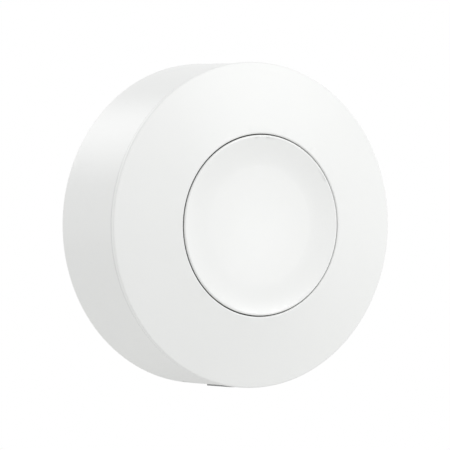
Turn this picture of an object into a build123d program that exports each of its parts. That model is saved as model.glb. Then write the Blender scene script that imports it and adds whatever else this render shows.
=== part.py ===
from build123d import *
import math
import os

# Round smart button for a wall: a battery-fed radio push button.
# Each piece is drawn lying on its back: x to the right, y up the wall, and z out of
# the wall towards the hand. Export turns it upright, so that +Z is up and the front
# faces -Y. The origin is the middle of the adhesive pad's outer face. Millimetres.

# Whole object: its width and depth follow from what it holds, at the end of these values
front_rise = 3.18          # from the rim, where side and front meet, to the lip of the opening
front_crown = 0.12         # how far the front swells beyond a straight cone
overrun = 1.0              # how far a cutting shape passes the face that it cuts
touch_gap = 0.02           # between a moving piece and its stop or pusher
slip_gap = 0.2             # between moulded pieces that slip together

# Button cap
cap_radius = 18.0
cap_gap = 0.2              # the dark ring between the cap and the cover
cap_wall = 1.5
dish_knee_share = 0.66     # of the cap's radius, where the shallow dish turns up to its edge
dish_knee_slope = 3.0      # degrees, at the knee
dish_edge_slope = 13.0     # degrees, at the lip
cap_proud = 0.2            # the cap's lip in front of the cover's lip
skirt_wall = 1.3
flange_reach = 1.3         # how far the cap's foot stands out under the collar
flange_height = 0.7
post_radius = 1.5
post_length = 1.47         # from the cap's underside to the switch
spring_cup_wall = 0.8
spring_cup_depth = 1.0
cap_rib_count = 6
cap_rib_wall = 0.9
cap_rib_depth = 0.7
press_travel = 0.35
edge_round = 0.3           # rounding of the cap's lip and of the cover's lip

# Front cover
cover_wall = 1.8
collar_wall = 1.4
cover_band = 0.75          # the cover's own share of the side wall
cover_lip_wall = 1.2
cover_lip_depth = 1.7
rim_round = 0.35
boss_radius = 2.3

# Body shell
rim_overhang = 0.15        # the cover stands this far beyond the shell
shell_taper = 0.14         # the side wall narrows this much towards the wall
shell_wall = 1.99
shell_standoff = 0.5       # rear edge of the shell off the wall
parting_chamfer = 0.18
shell_rear_round = 0.4
ledge_reach = 1.6
ledge_height = 1.2
bead_groove_depth = 0.25
bead_groove_height = 0.9
key_width = 3.0
key_depth = 1.4
key_length = 6.0

# Wall plate and adhesive pad
pad_width = 42.0
pad_height = 26.0
pad_corner = 6.0
pad_thickness = 0.8
pad_proud = 0.3            # pad face beyond the back of the plate
pad_edge_gap = 0.3
plate_thickness = 1.8
plate_gap = 0.32           # plate rim inside the shell
plate_rim_wall = 1.5
plate_rim_height = 4.3     # top of the rim off the wall
bead_radius = 0.27
bead_height = 3.2          # middle of the snap beads off the wall
bead_angles = (30, 150, 210, 330)
bead_sweep = 14            # degrees
screw_spacing = 40.0       # wall screws, centre to centre, up the wall
wall_slot_length = 8.0
wall_slot_radius = 2.1
slot_boss_wall = 2.4
slot_boss_height = 1.0
cell_rib_wall = 1.2
cell_rib_shares = (-0.34, 0.0, 0.34)   # of a cell's length

# Release latch at six o'clock
latch_width = 12.0
latch_proud = 0.05         # beyond the rear edge of the side wall
latch_rib_width = 2.2      # the rib that a thumb finds, down the middle of the pad
latch_rib_proud = 0.33     # beyond the pad
latch_rib_low = 5.4        # rear end of the rib, off the wall
latch_rib_margin = 0.5     # from the rib's front end to the pad's
latch_low = 3.4            # rear edge of the push pad, off the wall
latch_travel = 1.0
latch_corner = 1.2
latch_block_width = 9.0
latch_ear_reach = 1.2
latch_ear_wall = 1.0
latch_ear_margin = 0.9
latch_leg_wall = 1.1
latch_nose_reach = 0.9
latch_nose_height = 1.5
catch_width = 8.0
catch_lip_reach = 1.0
catch_lip_height = 1.3
catch_gap = 0.25           # between the latch's leg and the catch's lip
block_gap = 0.6            # between the latch's block and the catch's lip
latch_guide_wall = 1.2
latch_guide_reach = 2.6
latch_pocket_depth = 1.7

# Cells, AAA size
cell_radius = 5.25
cell_length = 44.5         # with its nub
nub_radius = 1.9
nub_length = 1.0
sleeve_wall = 0.15
sleeve_fit = 0.01
sleeve_lip = 1.1
can_shoulder = 0.5
cell_pitch = 12.1
cell_rib_gap = 0.3         # cells off the wall plate's ribs
cell_floor = 2.9           # the cells' nearest line, off the wall

# Battery frame
frame_gap = 0.72           # frame inside the shell
frame_margin = 1.08        # the frame's edge beyond the corners of its cell box
frame_plate = 1.4
frame_cell_gap = 0.1
cell_side_gap = 0.25
rail_wall = 1.2
rail_low = 5.0             # rear edge of the rails, off the wall
saddle_wall = 1.2
saddle_shares = (-0.31, 0.0, 0.31)     # of a cell's length
saddle_depth = 4.2
divider_wall = 1.0
board_pad_height = 0.4
board_pad_radius = 2.0
board_boss_depth = 1.3
spring_stop_wall = 1.2
spring_stop_width = 8.0
spring_stop_low = 6.8
spring_pin_radius = 1.2
spring_pin_length = 1.5

# Battery contacts
contact_sheet = 0.3
contact_width = 8.0
contact_spring_length = 3.3
contact_wire = 0.5
contact_coil_base = 3.3
contact_coil_tip = 2.2
contact_turns = 3
tab_width = 2.0
tab_gap = 0.2
tab_past_board = 0.5

# Circuit board and what is soldered to it
board_gap = 1.22           # board inside the shell's ledge
board_thickness = 1.6
boss_notch_gap = 0.5
switch_side = 6.2
switch_base_height = 2.0
switch_sheet = 0.25
switch_height = 3.1        # board to the top of the plunger
switch_cavity_radius = 2.3
switch_floor = 0.7
plunger_radius = 1.7
plunger_flange_radius = 2.1
plunger_flange_height = 0.65
plunger_hole_gap = 0.1
dome_radius = 2.15
dome_height = 0.5
dome_sheet = 0.1
leg_width = 0.7
leg_sheet = 0.2
leg_reach = 1.2
leg_spread_share = 0.36    # of the switch's side, from its middle
button_wire = 0.45
button_coil_radius = 5.2
button_turns = 3

component_gap = 0.7        # components off the button's spring, and off each other
skirt_room = 0.5           # radio board inside the cap's skirt
radio_length = 12.0
radio_thickness = 0.8
shield_margin = 0.8
shield_height = 1.5
shield_sheet = 0.25
antenna_size = (7.0, 2.0, 1.0)
antenna_inset = 0.8        # from the board's edge
antenna_angle = 136        # round the board, between a cover screw and the small parts
processor_size = (5.0, 5.0, 0.85)
crystal_size = (3.2, 2.5, 0.8)
inductor_size = (4.0, 4.0, 1.8)
inductor_corner = 0.7
led_size = (1.6, 0.8, 0.6)
capacitor_size = (2.0, 1.25, 0.8)
capacitor_angles = (-42, -32, 32, 42)  # on the outer band of the board
resistor_size = (1.6, 0.8, 0.45)
resistor_angles = (150, 157, 203, 210)
chip_waist = 0.08          # the middle of a chip part below its metal ends
chip_end_share = 0.22      # of a chip part's length, its metal end

reset_side = 4.0
reset_height = 1.5
reset_plunger_radius = 1.0
reset_plunger_height = 0.5
reset_travel = 0.25
reset_plunger_depth = 0.6
reset_window_gap = 0.3

# Screws
cover_screw_radius = 1.0
cover_screw_length = 6.0
cover_screw_head_radius = 1.9
cover_screw_head_height = 1.3
cover_screw_inset = 3.9    # from the frame's edge
cover_screw_angles = (60, 120, 240, 300)
board_screw_radius = 0.8
board_screw_length = 3.6
board_screw_head_radius = 1.6
board_screw_head_height = 1.1
board_screw_gap = 1.4      # heads off the cover's collar
board_screw_angles = (0, 90, 180)
thread_gap = 0.02
clearance_hole_gap = 0.2
screw_tip_gap = 0.5
recess_arm = 0.28          # half width of the cross recess
recess_depth = 0.6
recess_reach_share = 0.55  # of the head's radius

# Latch spring
latch_spring_length = 7.7
latch_wire = 0.4
latch_coil_radius = 1.9
latch_turns = 5

# Places that follow from the sizes above, from the wall outwards
plate_back = pad_proud
plate_front = plate_back + plate_thickness
cell_axis_height = cell_floor + cell_radius
cell_offset = cell_pitch / 2
frame_back = cell_floor + 2 * cell_radius + frame_cell_gap
frame_front = frame_back + frame_plate
board_back = frame_front + board_pad_height
board_front = board_back + board_thickness
plunger_top = board_front + switch_height
cap_under_height = plunger_top + post_length
cap_dish_height = cap_under_height + cap_wall
knee_angle = math.radians(dish_knee_slope)
edge_angle = math.radians(dish_edge_slope)
dish_middle_radius = dish_knee_share * cap_radius / math.sin(knee_angle)
dish_edge_radius = (1 - dish_knee_share) * cap_radius / (math.sin(edge_angle) - math.sin(knee_angle))
knee_rise = dish_middle_radius * (1 - math.cos(knee_angle))
edge_rise = dish_edge_radius * (math.cos(knee_angle) - math.cos(edge_angle))
cap_lip_height = cap_dish_height + knee_rise + edge_rise
crest_height = cap_lip_height - cap_proud
rim_height = crest_height - front_rise
shell_top = rim_height - cover_band
flange_bottom = board_front + 2 * press_travel
flange_top = flange_bottom + flange_height
collar_bottom = flange_top + touch_gap

# The same, from the middle outwards
pocket_half = (cell_length + contact_spring_length) / 2 + contact_sheet
box_half = pocket_half + rail_wall
rail_inner = cell_offset + cell_radius + cell_side_gap
rail_outer = rail_inner + rail_wall
frame_radius = math.hypot(box_half, rail_outer) + frame_margin
shell_inner_radius = frame_radius + frame_gap
shell_rear_radius = shell_inner_radius + shell_wall
shell_front_radius = shell_rear_radius + shell_taper
rim_radius = shell_front_radius + rim_overhang
ledge_radius = shell_inner_radius - ledge_reach
board_radius = ledge_radius - board_gap
plate_radius = shell_inner_radius - plate_gap
plate_rim_inner = plate_radius - plate_rim_wall
cover_screw_reach = frame_radius - cover_screw_inset
aperture_radius = cap_radius + cap_gap
collar_radius = aperture_radius + collar_wall
skirt_inner_radius = cap_radius - skirt_wall
flange_radius = cap_radius + flange_reach
board_screw_reach = collar_radius + board_screw_gap + board_screw_head_radius

# The release latch and its catch
latch_high = frame_front
latch_top_radius = shell_rear_radius + latch_proud
latch_pad_inner = plate_radius + plate_gap + latch_travel
catch_lip_inner = plate_rim_inner - catch_lip_reach
latch_leg_outer = catch_lip_inner - catch_gap
latch_block_inner = latch_leg_outer - latch_leg_wall
latch_nose_outer = latch_leg_outer + latch_nose_reach
latch_nose_top = latch_low + latch_nose_height
catch_lip_low = latch_nose_top + slip_gap
catch_top = catch_lip_low + catch_lip_height
latch_block_low = catch_top + block_gap
latch_block_high = frame_back - slip_gap
latch_spring_height = (latch_block_low + latch_block_high) / 2
spring_stop_outer = latch_block_inner + latch_pocket_depth - latch_spring_length
spring_stop_inner = spring_stop_outer - spring_stop_wall

# The battery contacts, the pairing switch and what lies round the button's spring
contact_bottom = rail_low + slip_gap
contact_top = frame_back - board_boss_depth - slip_gap
reset_reach = component_gap + reset_side / 2 + reset_window_gap
reset_place = (spring_stop_width / 2 + reset_reach, -rail_outer - reset_reach)
near_coil = button_coil_radius + button_wire / 2 + component_gap
band_radius = (collar_radius + board_radius) / 2
radio_near = near_coil + component_gap / 2
radio_far = math.sqrt((skirt_inner_radius - skirt_room) ** 2 - (radio_length / 2) ** 2)
radio_size = (radio_length, radio_far - radio_near, radio_thickness)
radio_place = (0.0, (radio_near + radio_far) / 2)
antenna_reach = board_radius - antenna_inset - antenna_size[1] / 2
processor_place = (near_coil + processor_size[0] / 2, -processor_size[1] / 2 - component_gap / 2)
crystal_place = (near_coil + crystal_size[0] / 2, crystal_size[1] / 2 + component_gap / 2)
inductor_place = (-near_coil - inductor_size[0] / 2, -inductor_size[1] / 2 - component_gap / 2)
led_place = (0.0, -near_coil - 2 * resistor_size[1] - 2 * component_gap)


def place(shape, x, y, z):
    return Pos(x, y, z) * shape


def disc(radius, bottom, top):
    return place(extrude(Circle(radius), top - bottom), 0, 0, bottom)


def ring(outer, inner, bottom, top):
    return place(extrude(Circle(outer) - Circle(inner), top - bottom), 0, 0, bottom)


def peg(radius, x, y, bottom, top):
    return place(disc(radius, bottom, top), x, y, 0)


def block(x_low, x_high, y_low, y_high, bottom, top):
    """A square-edged block between two corners."""
    sheet = extrude(Rectangle(x_high - x_low, y_high - y_low), top - bottom)
    return place(sheet, (x_low + x_high) / 2, (y_low + y_high) / 2, bottom)


def chip(size, spot, bottom):
    """A block of a component's size, standing on the board."""
    length, width, height = size
    return place(extrude(Rectangle(length, width), height), spot[0], spot[1], bottom)


def turned(points):
    """A solid of revolution about z from corners given as radius and height."""
    outline = Polyline(*points, close=True)
    return revolve(Plane.XZ * make_face(outline), Axis.Z)


def along_x(radius, start, end, y, z):
    """A round bar along x."""
    bar = extrude(Plane.YZ * Circle(radius), end - start)
    return place(bar, start, y, z)


def round_edge(shape, radius, height):
    """The round edges about z of one radius, at one height."""
    circles = shape.edges().filter_by(GeomType.CIRCLE)
    return [
        edge for edge in circles
        if abs(edge.radius - radius) < touch_gap and abs(edge.arc_center.Z - height) < touch_gap
        and math.hypot(edge.arc_center.X, edge.arc_center.Y) < touch_gap
    ]


def on_circle(radius, degrees):
    turn = math.radians(degrees)
    return radius * math.cos(turn), radius * math.sin(turn)


def cover_screw_places():
    return [on_circle(cover_screw_reach, degrees) for degrees in cover_screw_angles]


def board_screw_places():
    return [on_circle(board_screw_reach, degrees) for degrees in board_screw_angles]


def biarc(start, start_way, end, end_way):
    """Two tangent arcs that leave start along start_way and reach end along end_way."""
    span = end - start
    ways = start_way + end_way
    turn = 2 * (1 - start_way.dot(end_way))
    lean = span.dot(ways)
    reach = (math.sqrt(lean * lean + turn * span.dot(span)) - lean) / turn
    middle = (start + start_way * reach + end - end_way * reach) / 2
    middle_way = (end - end_way * reach - start - start_way * reach).normalized()
    return [TangentArc(start, middle, tangent=start_way), TangentArc(middle, end, tangent=middle_way)]


def coil(base_radius, tip_radius, height, turns, wire):
    """A wire coil about z: quarter-turn biarcs, with a straight end one wire long at each end."""
    quarters = 4 * turns
    climb = height - wire

    def at(quarter):
        share = quarter / quarters
        radius = base_radius + (tip_radius - base_radius) * share
        turn = math.radians(90 * quarter)
        return Vector(radius * math.cos(turn), radius * math.sin(turn), wire / 2 + climb * share)

    def way(quarter):
        share = quarter / quarters
        radius = base_radius + (tip_radius - base_radius) * share
        turn = math.radians(90 * quarter)
        outward = (tip_radius - base_radius) / (turns * 2 * math.pi)
        x = outward * math.cos(turn) - radius * math.sin(turn)
        y = outward * math.sin(turn) + radius * math.cos(turn)
        return Vector(x, y, climb / (turns * 2 * math.pi)).normalized()

    flat_start = Vector(way(0).X, way(0).Y, 0).normalized()
    flat_end = Vector(way(quarters).X, way(quarters).Y, 0).normalized()
    ways = [flat_start] + [way(quarter) for quarter in range(1, quarters)] + [flat_end]
    edges = [Line(at(0) - flat_start * wire, at(0))]
    for quarter in range(quarters):
        edges += biarc(at(quarter), ways[quarter], at(quarter + 1), ways[quarter + 1])
    edges.append(Line(at(quarters), at(quarters) + flat_end * wire))
    path = Wire([edge.edge() for edge in edges])
    section = Plane(origin=path @ 0, z_dir=path % 0) * Circle(wire / 2)
    return sweep(section, path), path


def least_gap(path, wire, turns):
    """The smallest clear space between one turn of a coil and another."""
    steps = 48 * turns
    points = [path @ (step / steps) for step in range(steps + 1)]
    apart = 36
    gaps = [(points[i] - points[j]).length for i in range(steps + 1) for j in range(i + apart, steps + 1)]
    return min(gaps) - wire


def skin_height(radius):
    """Height of the front's straight cone at a radius."""
    return rim_height + front_rise * (rim_radius - radius) / (rim_radius - aperture_radius)


def front_cover():
    """Ring-shaped front: a shallow cone with a collar that guides the cap and four screw bosses."""
    lip_outer = shell_inner_radius - slip_gap
    lip_inner = lip_outer - cover_lip_wall
    lip_bottom = shell_top - cover_lip_depth
    middle_radius = (rim_radius + aperture_radius) / 2
    front = ThreePointArc(
        (rim_radius, rim_height),
        (middle_radius, skin_height(middle_radius) + front_crown),
        (aperture_radius, crest_height),
    )
    rest = Polyline(
        (aperture_radius, crest_height),
        (aperture_radius, collar_bottom),
        (collar_radius, collar_bottom),
        (collar_radius, skin_height(collar_radius) - cover_wall),
        (lip_inner, skin_height(lip_inner) - cover_wall),
        (lip_inner, lip_bottom),
        (lip_outer, lip_bottom),
        (lip_outer, shell_top),
        (rim_radius, shell_top),
        (rim_radius, rim_height),
    )
    cover = revolve(Plane.XZ * make_face(front + rest), Axis.Z)
    core = turned([
        (0, frame_front),
        (rim_radius, frame_front),
        (rim_radius, rim_height - cover_wall / 2),
        (0, skin_height(0) - cover_wall / 2),
    ])
    cover = fillet(round_edge(cover, rim_radius, rim_height), rim_round)
    cover = fillet(round_edge(cover, aperture_radius, crest_height), edge_round)
    hole_top = frame_back + cover_screw_length + screw_tip_gap
    for x, y in cover_screw_places():
        cover += peg(boss_radius, x, y, frame_front, crest_height) & core
    for x, y in cover_screw_places():
        cover -= peg(cover_screw_radius + thread_gap, x, y, frame_front - overrun, hole_top)
    return cover


def body_shell():
    """Round side wall with a ledge inside, a window for the latch and a key rib at the top."""
    ledge_top = frame_front + ledge_height
    shell = turned([
        (shell_rear_radius, shell_standoff),
        (shell_front_radius, shell_top),
        (shell_inner_radius, shell_top),
        (shell_inner_radius, ledge_top),
        (ledge_radius, ledge_top),
        (ledge_radius, frame_front),
        (shell_inner_radius, frame_front),
        (shell_inner_radius, shell_standoff),
    ])
    shell = chamfer(round_edge(shell, shell_front_radius, shell_top), parting_chamfer)
    shell = fillet(round_edge(shell, shell_rear_radius, shell_standoff), shell_rear_round)
    groove_low = bead_height - bead_groove_height / 2
    shell -= ring(
        shell_inner_radius + bead_groove_depth, shell_inner_radius - overrun,
        groove_low, groove_low + bead_groove_height,
    )
    guide_inner = shell_inner_radius - latch_guide_reach
    guide_near = latch_width / 2 + latch_ear_reach + slip_gap
    guide_far = guide_near + latch_guide_wall
    for side in (-1, 1):
        near, far = sorted((side * guide_near, side * guide_far))
        guide = block(near, far, -shell_inner_radius, -guide_inner, latch_block_low, latch_block_high)
        shell += guide & disc(shell_inner_radius + shell_wall / 2, latch_block_low, latch_block_high)
    key = block(
        -key_width / 2, key_width / 2, shell_inner_radius - key_depth,
        shell_inner_radius + shell_wall / 2, shell_standoff + slip_gap, shell_standoff + key_length,
    )
    shell += key
    window = latch_window(slip_gap)
    return shell - window


def latch_window(gap):
    """The push pad's outline, grown by gap, through the side wall at six o'clock."""
    width = latch_width + 2 * gap
    height = latch_high - latch_low + 2 * gap
    middle = (latch_low + latch_high) / 2
    outline = RectangleRounded(width, height, latch_corner + gap)
    start = shell_inner_radius - shell_wall
    prism = extrude(Plane.XZ * outline, rim_radius - start + overrun)
    return place(prism, 0, -start, middle)


def wall_plate():
    """Plate that stays on the wall: rim, snap beads, catch for the latch and two screw slots."""
    plate = disc(plate_radius, plate_back, plate_front)
    plate += ring(plate_radius, plate_rim_inner, plate_back, plate_rim_height)
    bead = Plane.XZ * (Pos(plate_radius, bead_height) * Circle(bead_radius))
    for degrees in bead_angles:
        plate += Rot(0, 0, degrees - bead_sweep / 2) * revolve(bead, Axis.Z, bead_sweep)
    for share in cell_rib_shares:
        x = share * cell_length
        plate += block(
            x - cell_rib_wall / 2, x + cell_rib_wall / 2, -cell_pitch, cell_pitch,
            plate_back, cell_floor - cell_rib_gap,
        )
    for y in (-screw_spacing / 2, screw_spacing / 2):
        plate += upright_slot(wall_slot_radius + slot_boss_wall, y, plate_back, plate_front + slot_boss_height)
    for y in (-screw_spacing / 2, screw_spacing / 2):
        plate -= upright_slot(wall_slot_radius, y, plate_back - overrun, catch_top)
    plate += catch()
    notch_width = key_width + 2 * slip_gap
    plate -= block(
        -notch_width / 2, notch_width / 2, shell_inner_radius - key_depth - slip_gap, rim_radius,
        plate_back - overrun, plate_rim_height + overrun,
    )
    recess_width = pad_width + 2 * pad_edge_gap
    recess_height = pad_height + 2 * pad_edge_gap
    recess = RectangleRounded(recess_width, recess_height, pad_corner + pad_edge_gap)
    return plate - place(extrude(recess, pad_thickness + overrun), 0, 0, -overrun)


def upright_slot(radius, y, bottom, top):
    """A slot that runs up the wall, its end-to-end length following the radius."""
    straight = wall_slot_length - 2 * wall_slot_radius
    outline = Rot(0, 0, 90) * SlotCenterToCenter(straight, 2 * radius)
    return place(extrude(outline, top - bottom), 0, y, bottom)


def catch():
    """Upright wall at six o'clock whose lip holds the latch's nose."""
    half = catch_width / 2
    upright = ring(plate_radius, plate_rim_inner, plate_back, catch_top)
    lip = ring(plate_radius, catch_lip_inner, catch_lip_low, catch_top)
    return (upright + lip) & block(-half, half, -rim_radius, -latch_leg_outer + catch_gap, plate_back, catch_top)


def adhesive_pad():
    """Foam mounting pad in the plate's recess."""
    return extrude(RectangleRounded(pad_width, pad_height, pad_corner), pad_thickness)


def dish_edge_point(drop, angle):
    """A point of the dish's upturned edge, at the radius where the curve is this steep."""
    apart = dish_middle_radius - dish_edge_radius
    centre_x = apart * math.sin(knee_angle)
    centre_z = cap_dish_height + dish_middle_radius - apart * math.cos(knee_angle)
    reach = dish_edge_radius + drop
    return centre_x + reach * math.sin(angle), centre_z - reach * math.cos(angle)


def dish_room(drop):
    """The finger's room above the dish's curve, or above that curve moved down by drop.

    The middle is part of a ball whose poles lie to the sides, and the edge part of a tube's curve."""
    top = cap_lip_height + overrun
    past_edge = math.asin(math.sin(edge_angle) + overrun / dish_edge_radius)
    knee_radius, knee_height = dish_edge_point(drop, knee_angle)
    end_radius, end_height = dish_edge_point(drop, past_edge)
    ball = place(
        Rot(90, 0, 0) * Sphere(dish_middle_radius + drop), 0, 0, cap_dish_height + dish_middle_radius,
    )
    middle = ball & disc(knee_radius, cap_under_height - overrun, top)
    curve = ThreePointArc(
        (knee_radius, knee_height),
        dish_edge_point(drop, (knee_angle + past_edge) / 2),
        (end_radius, end_height),
    )
    rest = Polyline(
        (end_radius, end_height),
        (end_radius, top),
        (knee_radius, top),
        (knee_radius, knee_height),
    )
    return middle + revolve(Plane.XZ * make_face(curve + rest), Axis.Z)


def button_cap():
    """Dished cap with a skirt, a foot that stops it under the collar, a post and ribs."""
    body = turned([
        (0, flange_bottom),
        (flange_radius, flange_bottom),
        (flange_radius, flange_top),
        (cap_radius, flange_top),
        (cap_radius, cap_lip_height),
        (0, cap_lip_height),
    ])
    body -= dish_room(0)
    hollow = disc(skirt_inner_radius, flange_bottom - overrun, cap_lip_height)
    under = dish_room(cap_wall)
    cap = body - (hollow - under)
    cap = fillet(round_edge(cap, cap_radius, cap_lip_height), edge_round)
    cup_inner = button_coil_radius + button_wire / 2 + slip_gap
    cup_bottom = cap_under_height - spring_cup_depth
    inside = hollow - dish_room(cap_wall / 2)
    cap += ring(cup_inner + spring_cup_wall, cup_inner, cup_bottom, cap_lip_height) & inside
    rib_bottom = cap_under_height - cap_rib_depth
    for number in range(cap_rib_count):
        rib = block(
            cup_inner + spring_cup_wall / 2, skirt_inner_radius, -cap_rib_wall / 2, cap_rib_wall / 2,
            rib_bottom, cap_lip_height,
        )
        cap += Rot(0, 0, 360 / cap_rib_count * number) * (rib & inside)
    return cap + disc(post_radius, plunger_top + touch_gap, cap_dish_height - cap_wall / 2)


def release_latch():
    """Push pad with a thumb rib, a block, two ears that stop it inside the shell, and a hooked leg."""
    half_block = latch_block_width / 2
    pad = latch_window(0) & (
        disc(latch_top_radius, latch_low, latch_high)
        - block(-rim_radius, rim_radius, -latch_pad_inner, rim_radius, latch_low, latch_high)
    )
    latch = pad + block(
        -half_block, half_block, -latch_pad_inner - touch_gap, -latch_block_inner,
        latch_block_low, latch_block_high,
    )
    rib_radius = latch_top_radius + latch_rib_proud
    latch += disc(rib_radius, latch_rib_low, latch_high - latch_rib_margin) & block(
        -latch_rib_width / 2, latch_rib_width / 2, -rib_radius - overrun, -latch_pad_inner,
        latch_rib_low, latch_high,
    )
    ear_width = latch_width / 2 + latch_ear_reach
    ear_outer = math.sqrt(shell_inner_radius ** 2 - ear_width ** 2) - touch_gap
    latch += block(
        -ear_width, ear_width, -ear_outer, -ear_outer + latch_ear_wall,
        latch_block_low + latch_ear_margin, latch_block_high - latch_ear_margin,
    )
    half_leg = catch_width / 2 - slip_gap
    leg_inner = latch_leg_outer - latch_leg_wall
    latch += block(-half_leg, half_leg, -latch_leg_outer, -leg_inner, latch_low, latch_block_low + overrun)
    nose = Plane.YZ * make_face(Polyline(
        (-latch_leg_outer, latch_low),
        (-latch_leg_outer, latch_nose_top),
        (-latch_nose_outer, latch_nose_top),
        (-latch_nose_outer, latch_nose_top - latch_nose_height / 3),
        close=True,
    ))
    latch += place(extrude(nose, 2 * half_leg), -half_leg, 0, 0)
    pocket_radius = latch_coil_radius + latch_wire / 2 + slip_gap
    pocket = extrude(Plane.XZ * Circle(pocket_radius), latch_pocket_depth + overrun)
    return latch - place(pocket, 0, overrun - latch_block_inner, latch_spring_height)


def battery_frame():
    """Chassis that carries the cells behind it and the circuit board in front of it."""
    frame = disc(frame_radius, frame_back, frame_front)
    for side in (-1, 1):
        near, far = sorted((side * pocket_half, side * box_half))
        frame += block(near, far, -rail_outer, rail_outer, rail_low, frame_front)
        near, far = sorted((side * rail_inner, side * rail_outer))
        frame += block(-box_half, box_half, near, far, rail_low, frame_front)
    saddle_bottom = frame_back - saddle_depth
    for share in saddle_shares:
        x = share * cell_length
        frame += block(
            x - saddle_wall / 2, x + saddle_wall / 2, -rail_inner, rail_inner, saddle_bottom, frame_front,
        )
    divider_half = pocket_half - contact_sheet - slip_gap
    frame += block(
        -divider_half, divider_half, -divider_wall / 2, divider_wall / 2, saddle_bottom, frame_front,
    )
    for x, y in board_screw_places():
        frame += peg(board_pad_radius, x, y, frame_back - board_boss_depth, board_back)
    frame += latch_spring_stop()
    for side in (-1, 1):
        room = cell_radius + frame_cell_gap
        frame -= along_x(room, -pocket_half, pocket_half, side * cell_offset, cell_axis_height)
    for x, y in board_screw_places():
        tip = board_front - board_screw_length - screw_tip_gap
        frame -= peg(board_screw_radius + thread_gap, x, y, tip, board_back + overrun)
    for x, y in cover_screw_places():
        hole = cover_screw_radius + clearance_hole_gap
        frame -= peg(hole, x, y, frame_back - overrun, frame_front + overrun)
    reset_half = reset_side / 2 + reset_window_gap
    x, y = reset_place
    frame -= block(
        x - reset_half, x + reset_half, y - reset_half, y + reset_half,
        frame_back - overrun, frame_front + overrun,
    )
    for side in (-1, 1):
        half = tab_width / 2 + tab_gap
        middle = side * cell_offset
        frame -= block(
            pocket_half - contact_sheet - tab_gap, pocket_half, middle - half, middle + half,
            frame_back - overrun, frame_front + overrun,
        )
    return frame


def latch_spring_stop():
    """Upright wall behind the latch, with a pin that keeps its spring in place."""
    half = spring_stop_width / 2
    stop = block(-half, half, -spring_stop_outer, -spring_stop_inner, spring_stop_low, frame_front)
    pin = extrude(Plane.XZ * Circle(spring_pin_radius), spring_pin_length)
    return stop + place(pin, 0, -spring_stop_outer, latch_spring_height)


def cell_can():
    """Steel can of an AAA cell about x, its nub pointing to +x, its middle at the origin."""
    start = -cell_length / 2
    body_end = cell_length / 2 - nub_length
    can_radius = cell_radius - sleeve_wall - sleeve_fit
    can = along_x(can_radius, start, body_end, 0, 0)
    ends = can.edges().filter_by(GeomType.CIRCLE)
    can = fillet(ends, can_shoulder)
    return can + along_x(nub_radius, body_end - nub_radius, body_end + nub_length, 0, 0)


def cell_sleeve():
    """Printed film round the can, turned in a little over both ends."""
    start = -cell_length / 2
    body_end = cell_length / 2 - nub_length
    tube = along_x(cell_radius, start, body_end, 0, 0)
    tube = fillet(tube.edges().filter_by(GeomType.CIRCLE), can_shoulder + sleeve_wall)
    bore = along_x(cell_radius - sleeve_wall, start + sleeve_lip, body_end - sleeve_lip, 0, 0)
    mouth = cell_radius - sleeve_lip
    core = bore + along_x(mouth, start - overrun, body_end + overrun, 0, 0)
    inner = along_x(cell_radius - sleeve_wall, start, body_end, 0, 0)
    inner = fillet(inner.edges().filter_by(GeomType.CIRCLE), can_shoulder)
    return tube - inner - core


def cell_pieces():
    """Two cells, head to tail, in the places that the frame gives them."""
    shift = contact_spring_length / 2
    upper = Pos(shift, cell_offset, cell_axis_height)
    lower = Pos(-shift, -cell_offset, cell_axis_height) * Rot(0, 0, 180)
    return {
        "battery_upper": upper * cell_can(),
        "battery_lower": lower * cell_can(),
        "battery_upper_sleeve": upper * cell_sleeve(),
        "battery_lower_sleeve": lower * cell_sleeve(),
    }


def contact_sheet_block(x_low, y_low, y_high):
    return block(x_low, x_low + contact_sheet, y_low, y_high, contact_bottom, contact_top)


def tabbed_contact(side):
    """Contact sheet at the right end wall, with a tab that reaches through the board."""
    x_low = pocket_half - contact_sheet
    middle = side * cell_offset
    sheet = contact_sheet_block(x_low, middle - contact_width / 2, middle + contact_width / 2)
    return sheet + block(
        x_low, pocket_half, middle - tab_width / 2, middle + tab_width / 2,
        contact_bottom, board_front + tab_past_board,
    )


def bridge_plate():
    """Contact sheet at the left end wall that joins the two cells."""
    reach = cell_offset + contact_width / 2
    return contact_sheet_block(-pocket_half, -reach, reach)


def contact_springs():
    """The two coil springs that press on the flat ends of the cells."""
    length = contact_spring_length - 2 * touch_gap
    spring, path = coil(contact_coil_base, contact_coil_tip, length, contact_turns, contact_wire)
    report_gap("contact springs", path, contact_wire, contact_turns)
    start = pocket_half - contact_sheet - touch_gap
    left = Pos(-start, cell_offset, cell_axis_height) * Rot(0, 90, 0) * spring
    right = Pos(start, -cell_offset, cell_axis_height) * Rot(0, -90, 0) * spring
    return {"bridge_spring": left, "negative_spring": right}


def button_spring():
    """Return spring of the cap, standing on the board round the switch."""
    height = cap_under_height - board_front - 2 * touch_gap
    spring, path = coil(button_coil_radius, button_coil_radius, height, button_turns, button_wire)
    report_gap("button spring", path, button_wire, button_turns)
    return place(spring, 0, 0, board_front + touch_gap)


def latch_spring():
    """Spring between the frame's stop and the pocket in the latch."""
    length = latch_spring_length - 2 * touch_gap
    spring, path = coil(latch_coil_radius, latch_coil_radius, length, latch_turns, latch_wire)
    report_gap("latch spring", path, latch_wire, latch_turns)
    return Pos(0, -spring_stop_outer - touch_gap, latch_spring_height) * Rot(90, 0, 0) * spring


def report_gap(name, path, wire, turns):
    print(name, "least gap between turns", round(least_gap(path, wire, turns), 2), "mm")


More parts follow.
